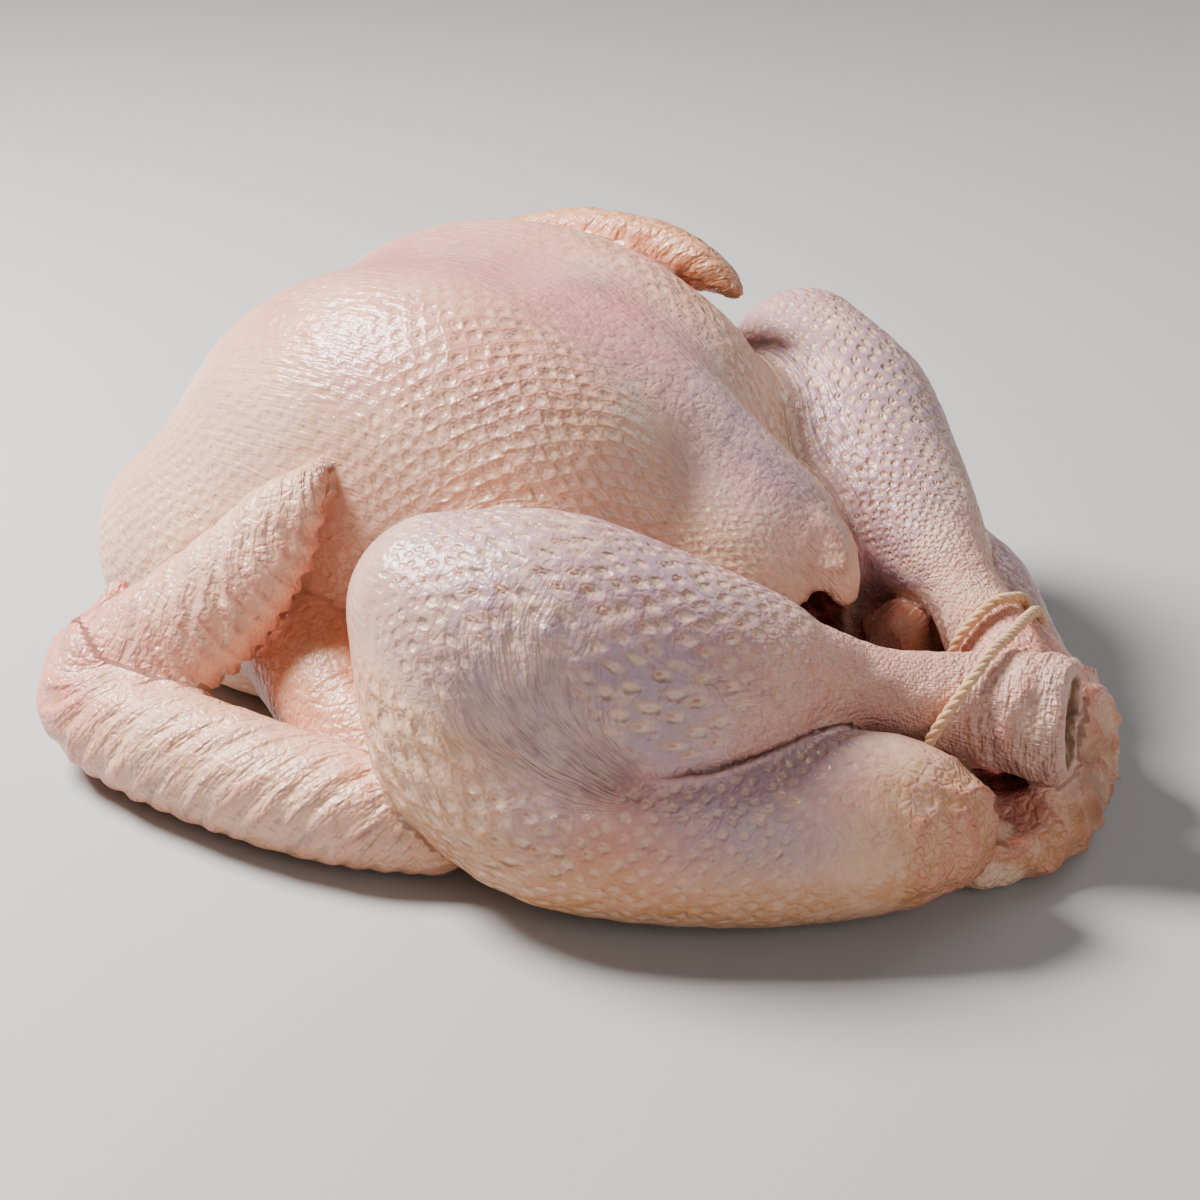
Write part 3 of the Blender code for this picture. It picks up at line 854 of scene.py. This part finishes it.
# blood red: the skin's own fine lines and the flesh in the cavity, and painted shade in the low places
BLOOD_AND_SHADE = (0.48, 0.12, 0.08, 1)
SHADOW = (0.12, 0.035, 0.02, 1)
WET_ROUGHNESS = 0.26
BONE_ROUGHNESS = 0.8


def mixed(tree, share, first, second):
    """`first` turning into `second` as `share` goes from 0 to 1."""
    node = add(tree, "ShaderNodeMix", {"Factor": share}, data_type="RGBA")
    for key, value in ((6, first), (7, second)):
        if isinstance(value, bpy.types.NodeSocket):
            tree.links.new(value, node.inputs[key])
        else:
            node.inputs[key].default_value = value
    return node.outputs[2]


def mixed_number(tree, share, first, second):
    return add(tree, "ShaderNodeMix", {0: share, 2: first, 3: second}).outputs[0]


def attribute(tree, name, output="Fac"):
    return add(tree, "ShaderNodeAttribute", attribute_name=name).outputs[output]


def clouds(tree, vector, scale, detail=3.0, roughness=0.55):
    return add(tree, "ShaderNodeTexNoise", {"Vector": vector, "Scale": scale, "Detail": detail,
                                            "Roughness": roughness}).outputs["Fac"]


def effect(name, takes, gives):
    """An empty shader node group, with its inputs' sockets and its outputs' sockets."""
    tree = bpy.data.node_groups.new(name, "ShaderNodeTree")
    for title, kind in takes.items():
        tree.interface.new_socket(title, in_out="INPUT", socket_type="NodeSocket" + kind)
    for title in gives:
        tree.interface.new_socket(title, in_out="OUTPUT", socket_type="NodeSocketFloat")
    return tree, add(tree, "NodeGroupInput").outputs, add(tree, "NodeGroupOutput").inputs


def cobble_effect():
    """Rounded cells parted by fine grooves: Top is 0 in a groove and 1 in the middle."""
    tree, given, made = effect("cobbles", {"Place": "Vector", "Scale": "Float"}, ["Top"])
    nudge_scale = maths(tree, "MULTIPLY", given["Scale"], 0.7)
    nudge = add(tree, "ShaderNodeTexNoise",
                {"Vector": given["Place"], "Scale": nudge_scale}).outputs["Color"]
    size = maths(tree, "DIVIDE", 0.9, given["Scale"])
    nudge = scaled(tree, nudge, size)
    warped = vector_maths(tree, "ADD", given["Place"], nudge)
    edge = add(tree, "ShaderNodeTexVoronoi", {"Vector": warped, "Scale": given["Scale"]},
               feature="DISTANCE_TO_EDGE").outputs["Distance"]
    tree.links.new(between(tree, edge, 0.0, 0.28), made["Top"])
    return tree


def wrinkle_effect():
    """Fine wrinkles along a coordinate: Trough marks their bottoms for painted shade; Lift is their height.
    """
    tree, given, made = effect("wrinkles", {"Grain": "Vector", "Weight": "Float"}, ["Trough", "Lift"])
    lines = clouds(tree, given["Grain"], 1.0, 2)
    trough_shade = between(tree, lines, 0.47, 0.33)
    tree.links.new(maths(tree, "MULTIPLY", trough_shade, given["Weight"]), made["Trough"])
    tree.links.new(maths(tree, "MULTIPLY", lines, given["Weight"]), made["Lift"])
    return tree


PORE_SHIFT = (0.15, 0.06, 0.0)     # from the middle of its mound, in cells


def follicle_effect():
    """One follicle: its Mound, the Crescent beside it, its Pore, the Seam round its cell."""
    tree, given, made = effect("follicles", {"Lattice": "Vector", "Place": "Vector"},
                               ["Mound", "Crescent", "Pore", "Seam"])
    wobble = add(tree, "ShaderNodeTexNoise", {"Vector": given["Place"], "Scale": 260.0}).outputs["Color"]
    wobble = vector_maths(tree, "SUBTRACT", wobble, (0.5, 0.5, 0.5))
    wobble = scaled(tree, wobble, 0.34)
    uneven = vector_maths(tree, "ADD", given["Lattice"], wobble)
    aside = vector_maths(tree, "ADD", uneven, PORE_SHIFT)
    middle, pore = cells(tree, uneven), cells(tree, aside)
    chance = add(tree, "ShaderNodeSeparateColor", {"Color": middle["Color"]}).outputs
    size = between(tree, chance[0], -0.8, 0.7)
    mound = maths(tree, "MULTIPLY", between(tree, middle["Distance"], 0.40, 0.14), size)
    opening = between(tree, pore["Distance"], 0.16, 0.05)
    opening = maths(tree, "MULTIPLY", opening, between(tree, chance[1], 0.2, 0.9))
    seam = cells(tree, uneven, "DISTANCE_TO_EDGE")["Distance"]
    tree.links.new(mound, made["Mound"])
    tree.links.new(between(tree, pore["Distance"], 0.50, 0.26), made["Crescent"])
    tree.links.new(opening, made["Pore"])
    tree.links.new(between(tree, seam, 0.15, 0.02), made["Seam"])
    return tree


def skin_material():
    made = bpy.data.materials.new("raw skin")
    made.use_nodes = True
    tree = made.node_tree
    shader = tree.nodes["Principled BSDF"]
    place = add(tree, "ShaderNodeTexCoord").outputs["Object"]

    def three(name):
        vector = attribute(tree, name, "Vector")
        return add(tree, "ShaderNodeSeparateXYZ", {"Vector": vector}).outputs

    def times(first, second):
        return maths(tree, "MULTIPLY", first, second)

    tone, depths, weights = three("tone"), three("depths"), three("wrinkles")
    rows, groove, taut = three("seams")
    follicle, cobble = attribute(tree, "follicles"), attribute(tree, "cobbles")
    dots = add(tree, "ShaderNodeGroup", {"Lattice": attribute(tree, "lattice", "Vector"), "Place": place},
               node_tree=follicle_effect()).outputs
    scales = add(tree, "ShaderNodeGroup", {"Place": place, "Scale": 260.0},
                 node_tree=cobble_effect()).outputs["Top"]
    wrinkles = wrinkle_effect()
    folds = [add(tree, "ShaderNodeGroup", {"Grain": attribute(tree, name, "Vector"), "Weight": weight},
                 node_tree=wrinkles).outputs
             for name, weight in zip(("fan_grain", "fold_grain", "grain"), weights)]
    broad = clouds(tree, place, 38)
    mottle = clouds(tree, place, 150, 4)
    crepe = clouds(tree, place, 420, 3)

    veined = between(tree, maths(tree, "ADD", broad, mottle), 0.45, 1.08)
    net = times(maths(tree, "SUBTRACT", 1.0, scales), cobble)
    seams = times(dots["Seam"], rows)
    ringed = maths(tree, "ADD", times(follicle, 0.32), times(rows, 0.22))
    # the tan layer: partly painted shade underneath and beside the wings
    layers = [(times(tone[2], between(tree, mottle, 0.05, 0.65)), TAN),
              (times(tone[1], between(tree, broad, 0.05, 0.65)), PINK)]
    # painted shade in the bottoms of the wrinkles
    layers += [(times(fold["Trough"], 0.5), TROUGH_SHADE) for fold in folds]
    layers += [(times(net, 0.10), BLOOD_AND_SHADE),
               # painted shade in blood red over the low places
               (times(attribute(tree, "furrow_shade"), 0.3), BLOOD_AND_SHADE),
               (times(seams, 0.55), TAN),
               (times(dots["Crescent"], ringed), TAN),
               (times(times(dots["Mound"], follicle), 0.66), MOUND),
               (times(times(dots["Pore"], follicle), 0.75), PORE),
               (times(depths[2], 0.7), FAT),
               (times(between(tree, groove, 0.25, 0.8), 0.9), SHADOW),
               (times(depths[1], between(tree, mottle, 0.1, 0.5)), BONE)]
    colour = mixed(tree, times(tone[0], veined), CREAM, VIOLET)
    for share, paint in layers:
        colour = mixed(tree, share, colour, paint)
    # the cavity: flesh darkened as painted shade, with blood-red patches
    hollow = mixed(tree, between(tree, mottle, 0.4, 0.75), SHADED_FLESH, BLOOD_AND_SHADE)
    colour = mixed(tree, depths[0], colour, hollow)
    tree.links.new(colour, shader.inputs["Base Color"])

    wet = add(tree, "ShaderNodeMapRange", {"Value": broad, "From Min": 0.3, "From Max": 0.7,
                                           "To Min": 0.38, "To Max": 0.25}).outputs["Result"]
    wet = mixed_number(tree, taut, wet, WET_ROUGHNESS)
    wet = mixed_number(tree, depths[1], wet, BONE_ROUGHNESS)
    tree.links.new(wet, shader.inputs["Roughness"])
    shader.inputs["Subsurface Weight"].default_value = 0.15
    shader.inputs["Subsurface Radius"].default_value = (1.0, 0.4, 0.25)
    shader.inputs["Subsurface Scale"].default_value = 0.003
    shader.inputs["IOR"].default_value = 1.5

    slack = maths(tree, "SUBTRACT", 1.0, times(taut, 0.88))
    bumps = [(times(dots["Pore"], follicle), -0.5), (seams, -0.22), (times(crepe, slack), 0.42)]
    bumps += [(fold["Lift"], 4.0) for fold in folds]
    bumps += [(times(mottle, slack), 0.95), (times(times(scales, cobble), slack), 0.5)]
    height = times(times(dots["Mound"], follicle), 0.75)
    for layer, weight in bumps:
        height = maths(tree, "ADD", height, times(layer, weight))
    bump = add(tree, "ShaderNodeBump", {"Strength": 0.9, "Distance": 0.0011, "Height": height})
    tree.links.new(bump.outputs["Normal"], shader.inputs["Normal"])
    return made


SKIN_VALUES = {"Mound height": 0.0005, "Mound radius": 0.44, "Material": skin_material()}
skin.data = run_nodes(skin, relief_tree(), SKIN_VALUES)
skin.data.name = "skin"
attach(skin, "root")
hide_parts("turkey")
print("skin:", len(skin.data.vertices), "points after the relief")

# %% [markdown]
# ## The twine
#
# Butcher's twine is three yarns laid round each other. It goes once round both ankles and
# once more round the far one, in one closed run. The route is a short list of points, the
# same as the solid's, pushed clear of the skin; the nodes then copy it three times, swing
# each copy round the route and give it a round section.

# %% Route
TWINE_RADIUS = 2.0
TWINE_GAP = 1.0
TWINE_STEP = 4
TWINE_ROUTE = [
    (107, -25, 31), (108, -37, 35), (111, -45, 44), (116, -42, 57), (121, -30, 69), (121, -14, 72),
    (119, 4, 71), (116, 19, 68), (113, 33, 61), (113, 38, 48), (112, 31, 35), (106, 21, 34),
    (98, 12, 41), (94, 8, 51), (98, 11, 63), (103, 19, 70), (106, 29, 68), (104, 38, 59),
    (101, 41, 47), (98, 34, 35), (99, 24, 27), (102, 14, 25), (106, 2, 26), (108, -12, 28)]


def resting(points, clearance):
    """Moves points that are too near the skin straight away from it."""
    points = np.array(points, np.float32)
    step = 0.5
    for _ in range(12):
        distance = bird(points)
        slope = np.stack([bird(points + step * axis) - bird(points - step * axis)
                          for axis in np.eye(3, dtype=np.float32)], -1)
        slope /= np.linalg.norm(slope, axis=-1, keepdims=True) + 1e-6
        points = points + np.maximum(clearance - distance, 0)[:, None] * slope
    return points


twine_path = resting(smooth_curve(TWINE_ROUTE, TWINE_STEP, closed=True), TWINE_RADIUS + TWINE_GAP)
twine_curve = bpy.data.curves.new("twine_route", "CURVE")
twine_curve.dimensions = "3D"
spline = twine_curve.splines.new("POLY")
spline.points.add(len(twine_path) - 1)
for point, position in zip(spline.points, placed(twine_path)):
    point.co = (*position, 1)
spline.use_cyclic_u = True
twine_guide = bpy.data.objects.new("twine_route", twine_curve)
bpy.context.scene.collection.objects.link(twine_guide)
loop = np.vstack([twine_path, twine_path[:1]])
TWINE_LENGTH = float(np.linalg.norm(np.diff(loop, axis=0), axis=1).sum())
print("twine: %.0f mm round" % TWINE_LENGTH)

# %% Geometry Nodes for the yarns
YARNS = 3
YARN_RADIUS = 0.00108
YARN_OFFSET = 0.00100
LAY_LENGTH = 11.0
TWINE_SAMPLE = 0.0011
YARN_SIDES = 10


def twine_tree():
    tree = bpy.data.node_groups.new("lay the yarns", "GeometryNodeTree")
    face = tree.interface
    face.new_socket("Geometry", in_out="INPUT", socket_type="NodeSocketGeometry")
    for name in ("Yarn radius", "Yarn offset", "Turns", "Sample length"):
        face.new_socket(name, in_out="INPUT", socket_type="NodeSocketFloat")
    face.new_socket("Yarns", in_out="INPUT", socket_type="NodeSocketInt")
    face.new_socket("Material", in_out="INPUT", socket_type="NodeSocketMaterial")
    face.new_socket("Geometry", in_out="OUTPUT", socket_type="NodeSocketGeometry")
    given = add(tree, "NodeGroupInput").outputs
    even = add(tree, "GeometryNodeResampleCurve",
               {"Curve": given["Geometry"], "Length": given["Sample length"]}, mode="LENGTH")
    even = add(tree, "GeometryNodeSetCurveNormal", {"Curve": even.outputs[0]}, mode="MINIMUM_TWIST")
    copies = add(tree, "GeometryNodeDuplicateElements",
                 {"Geometry": even.outputs[0], "Amount": given["Yarns"]}, domain="SPLINE")
    along_curve = add(tree, "GeometryNodeSplineParameter").outputs["Factor"]
    turn = maths(tree, "MULTIPLY", along_curve, given["Turns"])
    share = maths(tree, "DIVIDE", copies.outputs["Duplicate Index"], given["Yarns"])
    angle = maths(tree, "MULTIPLY", maths(tree, "ADD", turn, share), 2 * math.pi)
    swung = add(tree, "ShaderNodeVectorRotate",
                {"Vector": add(tree, "GeometryNodeInputNormal").outputs["Normal"],
                 "Axis": add(tree, "GeometryNodeInputTangent").outputs["Tangent"], "Angle": angle})
    offset = scaled(tree, swung.outputs[0], given["Yarn offset"])
    moved = add(tree, "GeometryNodeSetPosition",
                {"Geometry": copies.outputs["Geometry"], "Offset": offset})
    section = add(tree, "GeometryNodeCurvePrimitiveCircle",
                  {"Resolution": YARN_SIDES, "Radius": given["Yarn radius"]})
    cord = add(tree, "GeometryNodeCurveToMesh",
               {"Curve": moved.outputs[0], "Profile Curve": section.outputs["Curve"]})
    smooth = add(tree, "GeometryNodeSetShadeSmooth", {"Geometry": cord.outputs[0]})
    real = add(tree, "GeometryNodeRealizeInstances", {"Geometry": smooth.outputs[0]})
    painted = add(tree, "GeometryNodeSetMaterial",
                  {"Geometry": real.outputs[0], "Material": given["Material"]})
    add(tree, "NodeGroupOutput", {"Geometry": painted.outputs[0]})
    return tree


# %% Twine material
COTTON = (0.76, 0.45, 0.24, 1)
COTTON_DARK = (0.46, 0.25, 0.10, 1)


def twine_material():
    made = bpy.data.materials.new("cotton twine")
    made.use_nodes = True
    tree = made.node_tree
    shader = tree.nodes["Principled BSDF"]
    place = add(tree, "ShaderNodeTexCoord").outputs["Object"]
    fibres = clouds(tree, place, 1300, 4, 0.7)
    patches = clouds(tree, place, 90)
    uneven = maths(tree, "ADD", fibres, maths(tree, "MULTIPLY", patches, 0.6))
    share = between(tree, uneven, 0.95, 0.55)
    tree.links.new(mixed(tree, share, COTTON, COTTON_DARK), shader.inputs["Base Color"])
    shader.inputs["Roughness"].default_value = 0.85
    shader.inputs["Sheen Weight"].default_value = 0.3
    bump = add(tree, "ShaderNodeBump", {"Strength": 0.8, "Distance": 0.0003, "Height": fibres})
    tree.links.new(bump.outputs["Normal"], shader.inputs["Normal"])
    return made


twine_values = {"Yarn radius": YARN_RADIUS, "Yarn offset": YARN_OFFSET, "Yarns": YARNS,
                "Turns": float(round(TWINE_LENGTH / LAY_LENGTH)), "Sample length": TWINE_SAMPLE,
                "Material": twine_material()}
twine = bpy.data.objects.new("twine_yarns", run_nodes(twine_guide, twine_tree(), twine_values))
bpy.context.scene.collection.objects.link(twine)
bpy.data.objects.remove(twine_guide)
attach(twine, "root")
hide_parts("twine")
print("twine:", len(twine.data.vertices), "points")

# %% [markdown]
# ## Floor, light and camera
#
# The floor is plain and pale. One large soft light high on the left models the breast and
# the knee, a weak one opposite opens the shadows, and the room adds a little from all
# round. The camera looks down at the bird from the tail end of its near side.

# %% Stage
FLOOR_HALF = 3.0
FLOOR_COLOUR = (0.44, 0.436, 0.43, 1)
floor_mesh = bpy.data.meshes.new("floor")
corners = [(side * FLOOR_HALF, end * FLOOR_HALF, 0)
           for side, end in ((-1, -1), (1, -1), (1, 1), (-1, 1))]
floor_mesh.from_pydata(corners, [], [(0, 1, 2, 3)])
floor_material = bpy.data.materials.new("pale floor")
floor_material.use_nodes = True
floor_shader = floor_material.node_tree.nodes["Principled BSDF"]
floor_shader.inputs["Base Color"].default_value = FLOOR_COLOUR
floor_shader.inputs["Roughness"].default_value = 0.7
floor_mesh.materials.append(floor_material)
floor = bpy.data.objects.new("floor", floor_mesh)
bpy.context.scene.collection.objects.link(floor)

# %% Lights
def aim(thing, target):
    thing.rotation_euler = (Vector(target) - thing.location).to_track_quat("-Z", "Y").to_euler()


def soft_light(name, location, size, power, colour=(1, 1, 1)):
    data = bpy.data.lights.new(name, "AREA")
    data.shape = "DISK"
    data.size = size
    data.energy = power
    data.color = colour
    light = bpy.data.objects.new(name, data)
    bpy.context.scene.collection.objects.link(light)
    light.location = location
    aim(light, (0, 0, 0.06))
    return light


soft_light("key", (-0.78, -0.20, 0.95), 0.5, 56, (1.0, 0.98, 0.96))
soft_light("fill", (1.1, -0.6, 0.5), 1.2, 6, (0.95, 0.97, 1.0))
soft_light("back", (0.4, 1.2, 0.8), 0.9, 6)
world = bpy.data.worlds.new("room")
world.use_nodes = True
background = world.node_tree.nodes["Background"]
background.inputs["Color"].default_value = (0.80, 0.82, 0.86, 1)
background.inputs["Strength"].default_value = 0.10
bpy.context.scene.world = world

# %% Camera
CAMERA_AZIMUTH = math.radians(33)
CAMERA_ELEVATION = math.radians(26)
CAMERA_DISTANCE = 0.95
CAMERA_LENS = 85
CAMERA_SENSOR = 36
CAMERA_TARGET = Vector(placed((0, -70, 80)))
backwards = Vector((math.sin(CAMERA_AZIMUTH) * math.cos(CAMERA_ELEVATION),
                    -math.cos(CAMERA_AZIMUTH) * math.cos(CAMERA_ELEVATION),
                    math.sin(CAMERA_ELEVATION)))
camera_data = bpy.data.cameras.new("camera")
camera_data.lens = CAMERA_LENS
camera_data.sensor_width = CAMERA_SENSOR
camera = bpy.data.objects.new("camera", camera_data)
bpy.context.scene.collection.objects.link(camera)
camera.location = CAMERA_TARGET + CAMERA_DISTANCE * backwards
aim(camera, CAMERA_TARGET)
bpy.context.scene.camera = camera
